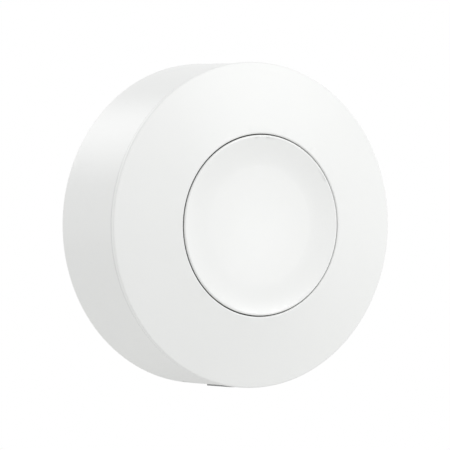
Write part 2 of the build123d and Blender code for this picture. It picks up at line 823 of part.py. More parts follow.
def main_board():
    """Round circuit board with notches for the cover's bosses."""
    board = disc(board_radius, board_back, board_front)
    low = board_back - overrun
    high = board_front + overrun
    for degrees in cover_screw_angles:
        x, y = on_circle(cover_screw_reach, degrees)
        board -= peg(boss_radius + boss_notch_gap, x, y, low, high)
        x, y = on_circle(board_radius, degrees)
        board -= peg(boss_radius + boss_notch_gap, x, y, low, high)
    for x, y in board_screw_places():
        board -= peg(board_screw_radius + clearance_hole_gap, x, y, low, high)
    for side in (-1, 1):
        half = tab_width / 2 + tab_gap
        middle = side * cell_offset
        board -= block(
            pocket_half - contact_sheet - tab_gap, pocket_half + tab_gap, middle - half, middle + half,
            low, high,
        )
    return board


def switch_pieces():
    """Tactile switch at the middle of the board: base, steel cover, snap dome, plunger and legs."""
    half = switch_side / 2
    base_top = board_front + switch_base_height
    floor = board_front + switch_floor
    base = block(-half, half, -half, half, board_front, base_top)
    base -= disc(switch_cavity_radius, floor, base_top + overrun)
    cover = block(-half, half, -half, half, base_top, base_top + switch_sheet)
    cover -= disc(plunger_radius + plunger_hole_gap, base_top - overrun, base_top + switch_sheet + overrun)
    flange_high = base_top - touch_gap
    plunger = disc(plunger_flange_radius, flange_high - plunger_flange_height, flange_high)
    plunger += disc(plunger_radius, flange_high - plunger_flange_height, plunger_top)
    plunger = fillet(round_edge(plunger, plunger_radius, plunger_top), plunger_hole_gap)
    sphere = (dome_radius ** 2 + dome_height ** 2) / (2 * dome_height)
    dome_ball = Sphere(sphere) - Sphere(sphere - dome_sheet)
    dome = place(dome_ball, 0, 0, floor + dome_height - sphere) & disc(dome_radius, floor, base_top)
    legs = Part()
    spread = switch_side * leg_spread_share
    for side in (-1, 1):
        for y in (-spread, spread):
            near, far = sorted((side * half, side * (half + leg_reach)))
            foot = block(near, far, y - leg_width / 2, y + leg_width / 2, board_front, board_front + leg_sheet)
            near, far = sorted((side * half, side * (half + leg_sheet)))
            riser = block(near, far, y - leg_width / 2, y + leg_width / 2, board_front, floor)
            legs += foot + riser
    return {
        "switch_body": base,
        "switch_cover": cover,
        "switch_plunger": plunger,
        "switch_dome": dome,
        "switch_legs": legs,
    }


def reset_switch():
    """Pairing switch on the back of the board, reached through a window in the frame."""
    x, y = reset_place
    half = reset_side / 2
    low = board_back - reset_height
    body = block(x - half, x + half, y - half, y + half, low, board_back)
    hole_top = low + reset_plunger_depth + reset_travel
    body -= peg(reset_plunger_radius + plunger_hole_gap, x, y, low - overrun, hole_top + touch_gap)
    plunger = peg(reset_plunger_radius, x, y, low - reset_plunger_height, low + reset_plunger_depth)
    return {"reset_switch_body": body, "reset_switch_plunger": plunger}


def radio_pieces():
    """Radio board soldered flat on the main board, its tin screen, and the antenna chip."""
    board_top = board_front + radio_thickness
    length = radio_size[0] - 2 * shield_margin
    width = radio_size[1] - 2 * shield_margin
    can = chip((length, width, shield_height), radio_place, board_top)
    can = fillet(can.edges().group_by(Axis.Z)[-1], shield_sheet)
    inside = (length - 2 * shield_sheet, width - 2 * shield_sheet, shield_height - shield_sheet)
    shield = can - chip(inside, radio_place, board_top)
    return {
        "radio_board": chip(radio_size, radio_place, board_front),
        "radio_shield": shield,
        "chip_antenna": Rot(0, 0, antenna_angle - 90) * chip(antenna_size, (0, antenna_reach), board_front),
    }


def chip_parts(size, places):
    """A group of like chip parts, one solid each, with waisted middles between metal ends."""
    length, width, height = size
    end = length * chip_end_share
    group = Part()
    for x, y in places:
        body = chip(size, (x, y), board_front)
        waist = (length - 2 * end, width, height)
        group += body - chip(waist, (x, y), board_front + height - chip_waist)
    return group


def round_places(radius, angles):
    return [on_circle(radius, degrees) for degrees in angles]


def loose_components():
    """The remaining pieces soldered to the front of the board."""
    length, width, _ = capacitor_size
    row = (-near_coil - length / 2, width / 2 + component_gap)
    pitch = width + component_gap
    capacitor_places = [(row[0], row[1] + number * pitch) for number in range(3)]
    capacitor_places += round_places(band_radius, capacitor_angles)
    length, width, _ = resistor_size
    pitch = length + component_gap
    resistor_places = [(number * pitch, -near_coil - width / 2) for number in (-1, 0, 1)]
    resistor_places += round_places(band_radius, resistor_angles)
    inductor = chip(inductor_size, inductor_place, board_front)
    inductor = fillet(inductor.edges().filter_by(Axis.Z), inductor_corner)
    return {
        "processor_chip": chip(processor_size, processor_place, board_front),
        "crystal": chip(crystal_size, crystal_place, board_front),
        "power_inductor": inductor,
        "status_led": chip(led_size, led_place, board_front),
        "chip_capacitors": chip_parts(capacitor_size, capacitor_places),
        "chip_resistors": chip_parts(resistor_size, resistor_places),
    }


def screw(radius, length, head_radius, head_height):
    """Pan-head screw along z: the head below z = 0, the shank above it."""
    head = disc(head_radius, -head_height, 0)
    head = fillet(round_edge(head, head_radius, -head_height), head_height / 2)
    reach = head_radius * recess_reach_share
    for long_way, short_way in ((reach, recess_arm), (recess_arm, reach)):
        head -= block(-long_way, long_way, -short_way, short_way, -head_height - overrun, recess_depth - head_height)
    return head + disc(radius, -recess_depth / 2, length)


def screw_groups():
    """Four screws that clamp frame, shell and cover together, and three that hold the board."""
    cover_group = Part()
    cover_screw = screw(
        cover_screw_radius, cover_screw_length, cover_screw_head_radius, cover_screw_head_height,
    )
    for x, y in cover_screw_places():
        cover_group += place(cover_screw, x, y, frame_back)
    board_group = Part()
    board_screw = Rot(180, 0, 0) * screw(
        board_screw_radius, board_screw_length, board_screw_head_radius, board_screw_head_height,
    )
    for x, y in board_screw_places():
        board_group += place(board_screw, x, y, board_front)
    return {"cover_screws": cover_group, "board_screws": board_group}


pieces = {
    "front_cover": front_cover(),
    "body_shell": body_shell(),
    "wall_plate": wall_plate(),
    "adhesive_pad": adhesive_pad(),
    "button_cap": button_cap(),
    "button_spring": button_spring(),
    "release_latch": release_latch(),
    "latch_spring": latch_spring(),
    "battery_frame": battery_frame(),
    "positive_contact": tabbed_contact(1),
    "negative_contact": tabbed_contact(-1),
    "bridge_plate": bridge_plate(),
    "main_board": main_board(),
}
pieces.update(cell_pieces())
pieces.update(contact_springs())
pieces.update(switch_pieces())
pieces.update(reset_switch())
pieces.update(radio_pieces())
pieces.update(loose_components())
pieces.update(screw_groups())

os.makedirs("parts", exist_ok=True)
for name, piece in pieces.items():
    upright = Rot(90, 0, 0) * piece
    export_step(upright, f"parts/{name}.step")
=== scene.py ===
"""A round wall button, dressed for rendering.

The solids stay as they are packed and get their finishes here, and small trim is added to them."""
import math

import bmesh
import bpy
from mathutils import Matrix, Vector


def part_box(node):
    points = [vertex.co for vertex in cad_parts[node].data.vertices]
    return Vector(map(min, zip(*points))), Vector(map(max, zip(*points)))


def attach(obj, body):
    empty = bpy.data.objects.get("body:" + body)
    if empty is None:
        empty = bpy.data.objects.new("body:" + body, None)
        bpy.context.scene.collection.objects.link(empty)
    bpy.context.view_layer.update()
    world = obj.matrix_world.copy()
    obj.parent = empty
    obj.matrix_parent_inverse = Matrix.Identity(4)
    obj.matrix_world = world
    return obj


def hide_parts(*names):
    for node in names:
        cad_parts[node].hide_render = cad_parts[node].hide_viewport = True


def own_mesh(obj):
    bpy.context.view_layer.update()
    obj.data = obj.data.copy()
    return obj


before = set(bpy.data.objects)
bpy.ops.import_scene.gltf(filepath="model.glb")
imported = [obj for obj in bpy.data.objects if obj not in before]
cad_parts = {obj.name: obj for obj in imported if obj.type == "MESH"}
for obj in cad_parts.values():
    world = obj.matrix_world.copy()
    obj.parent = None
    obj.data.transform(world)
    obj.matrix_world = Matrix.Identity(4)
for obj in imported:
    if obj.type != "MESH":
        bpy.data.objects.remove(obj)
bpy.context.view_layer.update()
mm = 0.001


# Materials, skins and pieces
# What the sections below share.

def linear(hex_colour):
    """An sRGB hex colour as the linear red, green, blue and alpha that a shader takes."""
    shares = [int(hex_colour[i:i + 2], 16) / 255 for i in (1, 3, 5)]
    return [s / 12.92 if s <= 0.04045 else ((s + 0.055) / 1.055) ** 2.4 for s in shares] + [1.0]


def add_node(material, kind, inputs=None, **settings):
    """Add one node to a material or world, with its settings; an input is a value or a link."""
    node = material.node_tree.nodes.new(kind)
    for name, value in settings.items():
        setattr(node, name, value)
    for name, value in (inputs or {}).items():
        if isinstance(value, bpy.types.NodeSocket):
            material.node_tree.links.new(value, node.inputs[name])
        else:
            node.inputs[name].default_value = value
    return node


def bare_material(name):
    """A material with an empty node tree."""
    material = bpy.data.materials.new(name)
    material.use_nodes = True
    material.node_tree.nodes.clear()
    return material


def moulded_abs(name, face, flow_shade, roughness, painted_gap_shade="#6A6A6A", gap_reach=0.5 * mm,
                gap_full=0.3, gap_open=0.6, rib=None):
    """ABS from a spark-eroded mould: satin, with an even fine grain and a faint cloud where it flowed.

    The real grain is under 0.1 mm; it is drawn at 0.3 mm, so that a close view shows it. What faces into gaps
    a few tenths of a millimetre wide is drawn darker, towards the gap colour: painted shade. A rib is drawn
    in another colour, painted shade, where the surface stands further than its radius from the Y axis."""
    material = bare_material(name)
    flow_size, spark, relief = 14 * mm, 0.3 * mm, 0.004 * mm
    sheen_spread = 0.04
    place = add_node(material, "ShaderNodeTexCoord").outputs["Object"]
    flow = add_node(material, "ShaderNodeTexNoise", {"Vector": place, "Scale": 1 / flow_size, "Detail": 2.0})
    colour = add_node(material, "ShaderNodeMix", {0: flow.outputs[0], 6: linear(face), 7: linear(flow_shade)},
                      data_type="RGBA")
    # Painted shade: a rib is drawn in its own darker colour
    if rib:
        rib_painted_shade, rib_radius = rib
        across = add_node(material, "ShaderNodeVectorMath", {0: place, 1: (1, 0, 1)}, operation="MULTIPLY")
        out = add_node(material, "ShaderNodeVectorMath", {0: across.outputs[0]}, operation="LENGTH")
        on_rib = add_node(material, "ShaderNodeMath", {0: out.outputs["Value"], 1: rib_radius},
                          operation="GREATER_THAN")
        colour = add_node(material, "ShaderNodeMix",
                          {0: on_rib.outputs[0], 6: colour.outputs[2], 7: linear(rib_painted_shade)},
                          data_type="RGBA")
    # Painted shade: where ambient occlusion finds a narrow gap, the colour is mixed towards the gap colour
    open_sky = add_node(material, "ShaderNodeAmbientOcclusion", {"Distance": gap_reach}, samples=8)
    painted_shade_share = add_node(material, "ShaderNodeMapRange",
                      {"Value": open_sky.outputs["AO"], 1: gap_full, 2: gap_open, 3: 1.0, 4: 0.0})
    colour = add_node(material, "ShaderNodeMix",
                      {0: painted_shade_share.outputs[0], 6: colour.outputs[2], 7: linear(painted_gap_shade)}, data_type="RGBA")
    grain = add_node(material, "ShaderNodeTexNoise", {"Vector": place, "Scale": 1 / spark, "Detail": 3.0})
    skin = add_node(material, "ShaderNodeBump", {"Height": grain.outputs[0], "Distance": relief})
    sheen = add_node(material, "ShaderNodeMapRange",
                     {"Value": grain.outputs[0], 3: roughness - sheen_spread, 4: roughness + sheen_spread})
    abs_plastic = add_node(material, "ShaderNodeBsdfPrincipled",
                           {"Base Color": colour.outputs[2], "Roughness": sheen.outputs[0], "IOR": 1.54,
                            "Normal": skin.outputs[0]})
    add_node(material, "ShaderNodeOutputMaterial", {"Surface": abs_plastic.outputs[0]})
    return material


def dress(material, *nodes):
    """Give solids their finish."""
    for node in nodes:
        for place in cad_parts[node].material_slots:
            place.material = material


def turn(steps):
    """The cosine and sine of evenly spaced angles right round."""
    return [(math.cos(2 * math.pi * i / steps), math.sin(2 * math.pi * i / steps)) for i in range(steps)]


def round_ring(radius, x, y, z, steps=20):
    """A circle of points, square to Y."""
    return [(x + radius * c, y, z + radius * s) for c, s in turn(steps)]


def block_ring(half_x, half_z, corner, x, y, z, steps=24):
    """A rectangle of points with round corners, square to Y; the corners share the steps."""
    inner_x, inner_z = half_x - corner, half_z - corner
    points = []
    for quarter, (side_x, side_z) in enumerate(((1, 1), (-1, 1), (-1, -1), (1, -1))):
        for i in range(steps // 4):
            angle = math.pi / 2 * (quarter + i / (steps // 4 - 1))
            points.append((x + side_x * inner_x + corner * math.cos(angle), y,
                           z + side_z * inner_z + corner * math.sin(angle)))
    return points


def loft(rings, closed=False):
    """A skin through rings with the same count of points: ended by caps, or closed on itself."""
    count = len(rings[0])
    last = len(rings) - 1
    faces = []
    for r in range(last + 1 if closed else last):
        near, far = r * count, (r + 1) % (last + 1) * count
        faces += [[near + i, near + (i + 1) % count, far + (i + 1) % count, far + i] for i in range(count)]
    if not closed:
        faces += [list(range(count)), list(range(last * count, (last + 1) * count))]
    return [point for ring in rings for point in ring], faces


def disc_skin(radius, x, z, low, high):
    """A disc between two levels, its high edge eased by a tenth of its height."""
    ease = (high - low) / 10
    return loft([round_ring(radius, x, low, z), round_ring(radius, x, high - ease, z),
                 round_ring(radius - abs(ease), x, high, z)])


def hoop_skin(outer, inner, x, z, low, high):
    """A flat hoop between two levels."""
    return loft([round_ring(outer, x, low, z), round_ring(outer, x, high, z),
                 round_ring(inner, x, high, z), round_ring(inner, x, low, z)], closed=True)


def strip_skin(route, width, low, high, steps=6):
    """A flat strip along a route of places (x, z), with mitred corners and round ends."""
    ways = [Vector(b) - Vector(a) for a, b in zip(route, route[1:])]
    turns_of = [math.atan2(way.y, way.x) for way in ways]
    left, right = [], []
    for (x, z), before, after in zip(route[1:-1], turns_of, turns_of[1:]):
        middle = (before + after) / 2
        reach = width / 2 / math.cos((after - before) / 2)
        left.append((x - reach * math.sin(middle), z + reach * math.cos(middle)))
        right.append((x + reach * math.sin(middle), z - reach * math.cos(middle)))
    caps = []
    for (x, z), base in ((route[-1], turns_of[-1] - math.pi / 2), (route[0], turns_of[0] + math.pi / 2)):
        angles = [base + math.pi * i / steps for i in range(steps + 1)]
        caps.append([(x + width / 2 * math.cos(a), z + width / 2 * math.sin(a)) for a in angles])
    outline = caps[0] + left[::-1] + caps[1] + right
    return loft([[(x, y, z) for x, z in outline] for y in (low, high)])


def plus_skin(x, z, half, line, low, high):
    """A plus sign, arms half long from its middle, between two levels."""
    quarter = [(half, -line / 2), (half, line / 2), (line / 2, line / 2)]
    outline = []
    for c, s in ((1, 0), (0, 1), (-1, 0), (0, -1)):
        outline += [(x + c * a - s * b, z + s * a + c * b) for a, b in quarter]
    return loft([[(a, y, b) for a, b in outline] for y in (low, high)])


def make_piece(name, skins, material, body):
    """One object from closed skins. It gets its material and rides on its body."""
    sharp_from = math.radians(38)
    points, faces = [], []
    for skin_points, skin_faces in skins:
        start = len(points)
        points += skin_points
        faces += [[start + i for i in face] for face in skin_faces]
    mesh = bpy.data.meshes.new(name)
    mesh.from_pydata(points, [], faces)
    shape = bmesh.new()
    shape.from_mesh(mesh)
    bmesh.ops.recalc_face_normals(shape, faces=shape.faces)
    shape.to_mesh(mesh)
    shape.free()
    mesh.shade_smooth()
    mesh.set_sharp_from_angle(angle=sharp_from)
    mesh.materials.append(material)
    piece = bpy.data.objects.new(name, mesh)
    bpy.context.scene.collection.objects.link(piece)
    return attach(piece, body)


# Wall plate
# The flat dish that stays on the wall. Injection-moulded ABS, grey white, with the faint pins and
# flow shades of a hidden moulding. It is screwed or stuck to the wall, and the button snaps onto it.

plate_abs = moulded_abs("plate_abs", "#E6E7E5", "#E1E2E0", 0.5)
dress(plate_abs, "wall_plate")

# The mould's pins leave shallow hoops on both faces, and an arrow shows which way is up.
plate_thickness = 1.8 * mm
plate_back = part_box("wall_plate")[1].y
plate_front = plate_back - plate_thickness
pin_reach, pin_radius, pin_line, pin_height = 25.8 * mm, 2.0 * mm, 0.12 * mm, 0.05 * mm
plate_marks = []
for degrees in (32, 148, 212, 328):
    x, z = pin_reach * math.cos(math.radians(degrees)), pin_reach * math.sin(math.radians(degrees))
    for face, outward in ((plate_back, pin_height), (plate_front, -pin_height)):
        plate_marks.append(hoop_skin(pin_radius, pin_radius - pin_line, x, z, face, face + outward))
arrow_x, arrow_low, arrow_high, arrow_half = 11 * mm, 16 * mm, 22 * mm, 1.8 * mm
arrow_line, arrow_height, shaft_stop = 0.6 * mm, 0.15 * mm, 0.9 * mm
arrow_shaft = ((arrow_x, arrow_low), (arrow_x, arrow_high - shaft_stop))
arrow_head = ((arrow_x - arrow_half, arrow_high - arrow_half), (arrow_x, arrow_high),
              (arrow_x + arrow_half, arrow_high - arrow_half))
for route in (arrow_shaft, arrow_head):
    plate_marks.append(strip_skin(route, arrow_line, plate_front, plate_front - arrow_height))
make_piece("plate_marks", plate_marks, plate_abs, "wall_mount")


# Adhesive pad
# Die-cut closed-cell foam with acrylic adhesive on both faces. It sits in the plate's recess, stands
# 0.3 mm proud of it, and its cut edge is drawn in a little at mid thickness.

def closed_cell_foam(name):
    """Polyethylene foam: dull, with fine bubbles that the die cut open."""
    material = bare_material(name)
    bubble, bubble_depth = 0.28 * mm, 0.03 * mm
    place = add_node(material, "ShaderNodeTexCoord").outputs["Object"]
    cells = add_node(material, "ShaderNodeTexVoronoi", {"Vector": place, "Scale": 1 / bubble})
    colour = add_node(material, "ShaderNodeMix",
                      {0: cells.outputs["Distance"], 6: linear("#C9CBCA"), 7: linear("#E4E5E3")},
                      data_type="RGBA")
    skin = add_node(material, "ShaderNodeBump",
                    {"Height": cells.outputs["Distance"], "Distance": bubble_depth})
    foam = add_node(material, "ShaderNodeBsdfPrincipled",
                    {"Base Color": colour.outputs[2], "Roughness": 0.85, "IOR": 1.5,
                     "Normal": skin.outputs[0]})
    add_node(material, "ShaderNodeOutputMaterial", {"Surface": foam.outputs[0]})
    return material


pad_low, pad_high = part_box("adhesive_pad")
pad_corner, pad_pinch, pad_ease = 6 * mm, 0.12 * mm, 0.05 * mm
pad_layers = []
for share in (0, 0.1, 0.3, 0.5, 0.7, 0.9, 1):
    drawn_in = pad_pinch * math.sin(math.pi * share) + (pad_ease if share in (0, 1) else 0)
    pad_layers.append(block_ring(pad_high.x - drawn_in, pad_high.z - drawn_in, pad_corner - drawn_in,
                                 0, pad_low.y + share * (pad_high.y - pad_low.y), 0, steps=48))
foam_pad = make_piece("foam_pad", [loft(pad_layers)], closed_cell_foam("pad_foam_cut"),
                      "wall_mount")
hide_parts("adhesive_pad")


# Body shell and release latch
# The drum behind the rim and the tab in its underside. Both are satin white ABS of one grade, and
# the tab's thumb rib is drawn soft grey as painted shade, for all but the lowest tenth of its height.

# The shell is drawn darker where it faces into the parting gap behind the rim: painted shade.
dress(moulded_abs("shell_abs", "#EEEFEE", "#EBECEB", 0.36, painted_gap_shade="#303030", gap_reach=0.8 * mm,
                  gap_full=0.8, gap_open=0.96), "body_shell")
rib_proud, rib_shown = 0.33 * mm, 0.9
rib_foot = -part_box("release_latch")[0].z - rib_shown * rib_proud
# The rib's grey is painted shade along the tab's underside.
dress(moulded_abs("latch_abs", "#EEEFEE", "#EBECEB", 0.36, rib=("#8B8C8D", rib_foot)), "release_latch")


# Battery frame
# The chassis that holds the cells and the board. Moulded ABS, a little duller than the outer skins.

frame_abs = moulded_abs("frame_abs", "#DEE0DF", "#D8DAD9", 0.52)
dress(frame_abs, "battery_frame", "reset_switch_plunger")

# Raised signs beside each cell's ends, on the side that shows when the button is off its plate
frame_cell_gap = 0.1 * mm
frame_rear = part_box("battery_upper_sleeve")[0].y - frame_cell_gap
sign_x, sign_z, sign_half, sign_line, sign_height = 22.2 * mm, 15.8 * mm, 1.5 * mm, 0.6 * mm, 0.25 * mm
levels = frame_rear, frame_rear + sign_height
polarity_signs = []
for x, z, plus in ((sign_x, sign_z, True), (-sign_x, sign_z, False),
                   (sign_x, -sign_z, False), (-sign_x, -sign_z, True)):
    if plus:
        polarity_signs.append(plus_skin(x, z, sign_half, sign_line, *levels))
    else:
        polarity_signs.append(strip_skin(((x - sign_half, z), (x + sign_half, z)), sign_line, *levels))
make_piece("polarity_signs", polarity_signs, frame_abs, "housing")


# Contacts and springs
# Stamped spring steel, nickel plated: bright, with the fine lines of the rolled strip. The coils are
# drawn wire of the same plating.

def nickel_plate(name, tone, roughness, line_size):
    """Nickel over rolled steel: a warm silver with fine drawn lines along its length."""
    material = bare_material(name)
    line_stretch, line_depth = 0.08, 0.002 * mm
    shine, haze = 0.06, 0.08     # how far the roughness strays below and above
    place = add_node(material, "ShaderNodeTexCoord").outputs["Object"]
    along = add_node(material, "ShaderNodeMapping", {"Vector": place, "Scale": (1.0, 1.0, line_stretch)})
    lines = add_node(material, "ShaderNodeTexNoise",
                     {"Vector": along.outputs[0], "Scale": 1 / line_size, "Detail": 2.0})
    sheen = add_node(material, "ShaderNodeMapRange",
                     {"Value": lines.outputs[0], 3: roughness - shine, 4: roughness + haze})
    skin = add_node(material, "ShaderNodeBump", {"Height": lines.outputs[0], "Distance": line_depth})
    nickel = add_node(material, "ShaderNodeBsdfPrincipled",
                      {"Base Color": linear(tone), "Metallic": 1.0, "Roughness": sheen.outputs[0],
                       "Normal": skin.outputs[0]})
    add_node(material, "ShaderNodeOutputMaterial", {"Surface": nickel.outputs[0]})
    return material


strip_nickel = nickel_plate("strip_nickel", "#C9C5BC", 0.28, 0.12 * mm)
dress(strip_nickel, "positive_contact", "negative_contact", "bridge_plate", "switch_legs")
wire_nickel = nickel_plate("wire_nickel", "#CBC8C1", 0.22, 0.1 * mm)
dress(wire_nickel, "bridge_spring", "negative_spring")


def spring_piece(name, node, material):
    """A spring part in a node's place: a copy of its mesh, with its material, riding on the housing."""
    piece = bpy.data.objects.new(name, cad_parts[node].data.copy())
    bpy.context.scene.collection.objects.link(piece)
    for place in piece.material_slots:
        place.material = material
    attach(piece, "housing")
    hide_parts(node)
    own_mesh(piece)


# The cap's coil stands on the board, the latch's coil on its stop, and the dome on the switch's floor.
low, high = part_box("button_spring")
spring_piece("button_coil", "button_spring", wire_nickel)
low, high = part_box("latch_spring")
spring_piece("latch_coil", "latch_spring", wire_nickel)
low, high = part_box("switch_dome")
spring_piece("snap_dome", "switch_dome", strip_nickel)


# Cells
# Two AAA cells: drawn nickel-plated cans in shrunk printed film. The film here is plain, with a
# band at the positive end.

def shrunk_film(name, main, band, band_edge, outward):
    """PVC film shrunk over a can: glossy, two plain colours that meet in a ring near the positive end."""
    material = bare_material(name)
    pull_size, pull_depth = 3 * mm, 0.02 * mm
    place = add_node(material, "ShaderNodeTexCoord").outputs["Object"]
    along = add_node(material, "ShaderNodeSeparateXYZ", {0: place})
    printed = add_node(material, "ShaderNodeMath", {0: along.outputs[0], 1: band_edge},
                       operation="GREATER_THAN" if outward > 0 else "LESS_THAN")
    colour = add_node(material, "ShaderNodeMix", {0: printed.outputs[0], 6: linear(main), 7: linear(band)},
                      data_type="RGBA")
    pull = add_node(material, "ShaderNodeTexNoise", {"Vector": place, "Scale": 1 / pull_size, "Detail": 1.0})
    skin = add_node(material, "ShaderNodeBump", {"Height": pull.outputs[0], "Distance": pull_depth})
    film = add_node(material, "ShaderNodeBsdfPrincipled",
                    {"Base Color": colour.outputs[2], "Roughness": 0.3, "IOR": 1.54,
                     "Normal": skin.outputs[0], "Coat Weight": 0.4, "Coat Roughness": 0.12})
    add_node(material, "ShaderNodeOutputMaterial", {"Surface": film.outputs[0]})
    return material


can_nickel = nickel_plate("can_nickel", "#BDBAB3", 0.25, 0.15 * mm)
dress(can_nickel, "battery_upper", "battery_lower")


def ink(name, tone):
    """Screen-printed ink: flat and matt, a little thin in places."""
    material = bare_material(name)
    speck, smoothest, roughest = 0.2 * mm, 0.5, 0.65
    place = add_node(material, "ShaderNodeTexCoord").outputs["Object"]
    thin = add_node(material, "ShaderNodeTexNoise", {"Vector": place, "Scale": 1 / speck, "Detail": 2.0})
    gloss = add_node(material, "ShaderNodeMapRange",
                     {"Value": thin.outputs[0], 3: smoothest, 4: roughest})
    print_coat = add_node(material, "ShaderNodeBsdfPrincipled",
                          {"Base Color": linear(tone), "Roughness": gloss.outputs[0], "IOR": 1.5})
    add_node(material, "ShaderNodeOutputMaterial", {"Surface": print_coat.outputs[0]})
    return material


def wrapped_bar(x_low, x_high, turn_low, turn_high, low, high, axis):
    """A thin bar on a cylinder along X, between two radii and two angles off straight back."""
    rings = []
    steps = 6
    for i in range(steps + 1):
        angle = turn_low + (turn_high - turn_low) * i / steps
        ring = []
        for x, radius in ((x_low, low), (x_high, low), (x_high, high), (x_low, high)):
            ring.append((x, axis[0] + radius * math.cos(angle), axis[1] + radius * math.sin(angle)))
        rings.append(ring)
    return loft(rings)


film_band = 9 * mm
print_height = 0.03 * mm
washer_thickness = 0.25 * mm
washer_outer, washer_inner = 4.2 * mm, 2.4 * mm
cell_signs, end_washers = [], []
for node, outward in (("battery_upper_sleeve", 1), ("battery_lower_sleeve", -1)):
    low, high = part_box(node)
    plus_end, minus_end = (high.x, low.x) if outward > 0 else (low.x, high.x)
    dress(shrunk_film(node + "_film", "#3F464D", "#7C949C", plus_end - outward * film_band, outward), node)
    radius = (high.z - low.z) / 2
    axis = ((low.y + high.y) / 2, (low.z + high.z) / 2)
    line_turn, half_turn = sign_line / 2 / radius, sign_half / radius
    for x, plus in ((plus_end - outward * film_band / 2, True), (minus_end + outward * film_band / 2, False)):
        cell_signs.append(wrapped_bar(x - sign_half, x + sign_half, -line_turn, line_turn,
                                      radius, radius + print_height, axis))
        if plus:
            for near, far in ((-half_turn, -line_turn), (line_turn, half_turn)):
                cell_signs.append(wrapped_bar(x - sign_line / 2, x + sign_line / 2, near, far,
                                              radius, radius + print_height, axis))
    rings = []
    for x, reach in ((plus_end, washer_outer), (plus_end + outward * washer_thickness, washer_outer),
                     (plus_end + outward * washer_thickness, washer_inner), (plus_end, washer_inner)):
        rings.append([(x, axis[0] + reach * c, axis[1] + reach * s) for c, s in turn(32)])
    end_washers.append(loft(rings, closed=True))
make_piece("cell_signs", cell_signs, ink("white_ink", "#E9EAE8"), "housing")
make_piece("cell_washers", end_washers, ink("pressed_card", "#5A5148"), "housing")


# Circuit board
# Glass-epoxy laminate under green solder mask. The cut edge shows the bare tan laminate.

def masked_laminate(name, mask, deep):
    """FR4 with solder mask: glossy faces with the glass weave just showing, and a bare tan edge."""
    material = bare_material(name)
    yarn = 0.5 * mm
    place = add_node(material, "ShaderNodeTexCoord").outputs["Object"]
    weave = add_node(material, "ShaderNodeTexChecker", {"Vector": place, "Scale": 1 / yarn})
    face = add_node(material, "ShaderNodeMix", {0: weave.outputs[1], 6: linear(mask), 7: linear(deep)},
                    data_type="RGBA")
    way = add_node(material, "ShaderNodeNewGeometry")
    parts = add_node(material, "ShaderNodeSeparateXYZ", {0: way.outputs["Normal"]})
    flatness = add_node(material, "ShaderNodeMath", {0: parts.outputs[1]}, operation="ABSOLUTE")
    is_face = add_node(material, "ShaderNodeMath", {0: flatness.outputs[0], 1: 0.5}, operation="GREATER_THAN")
    colour = add_node(material, "ShaderNodeMix",
                      {0: is_face.outputs[0], 6: linear("#B7A26F"), 7: face.outputs[2]}, data_type="RGBA")
    laminate = add_node(material, "ShaderNodeBsdfPrincipled",
                        {"Base Color": colour.outputs[2], "Roughness": 0.32, "IOR": 1.55})
    add_node(material, "ShaderNodeOutputMaterial", {"Surface": laminate.outputs[0]})
    return material


dress(masked_laminate("board_mask", "#1F5A3A", "#1B5234"), "main_board")
dress(masked_laminate("radio_mask", "#1C3F63", "#193A5B"), "radio_board")
board_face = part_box("main_board")[0].y


def covered_copper(name, tone):
    """A copper track under the mask: the mask's green, lighter, and as glossy as the board."""
    material = bare_material(name)
    cloud_size = 1.5 * mm
    place = add_node(material, "ShaderNodeTexCoord").outputs["Object"]
    cloud = add_node(material, "ShaderNodeTexNoise",
                     {"Vector": place, "Scale": 1 / cloud_size, "Detail": 2.0})
    colour = add_node(material, "ShaderNodeMix",
                      {0: cloud.outputs[0], 6: linear(tone), 7: linear("#2F7A50")}, data_type="RGBA")
    track = add_node(material, "ShaderNodeBsdfPrincipled",
                     {"Base Color": colour.outputs[2], "Roughness": 0.3, "IOR": 1.55})
    add_node(material, "ShaderNodeOutputMaterial", {"Surface": track.outputs[0]})
    return material


def bright_solder(name, tone, roughness):
    """Reflowed tin or gold on the bare lands: bright, slightly crystalline."""
    material = bare_material(name)
    crystal_size, crystal_depth = 0.12 * mm, 0.004 * mm
    place = add_node(material, "ShaderNodeTexCoord").outputs["Object"]
    crystals = add_node(material, "ShaderNodeTexVoronoi", {"Vector": place, "Scale": 1 / crystal_size})
    skin = add_node(material, "ShaderNodeBump",
                    {"Height": crystals.outputs["Distance"], "Distance": crystal_depth})
    metal = add_node(material, "ShaderNodeBsdfPrincipled",
                     {"Base Color": linear(tone), "Metallic": 1.0, "Roughness": roughness,
                      "Normal": skin.outputs[0]})
    add_node(material, "ShaderNodeOutputMaterial", {"Surface": metal.outputs[0]})
    return material


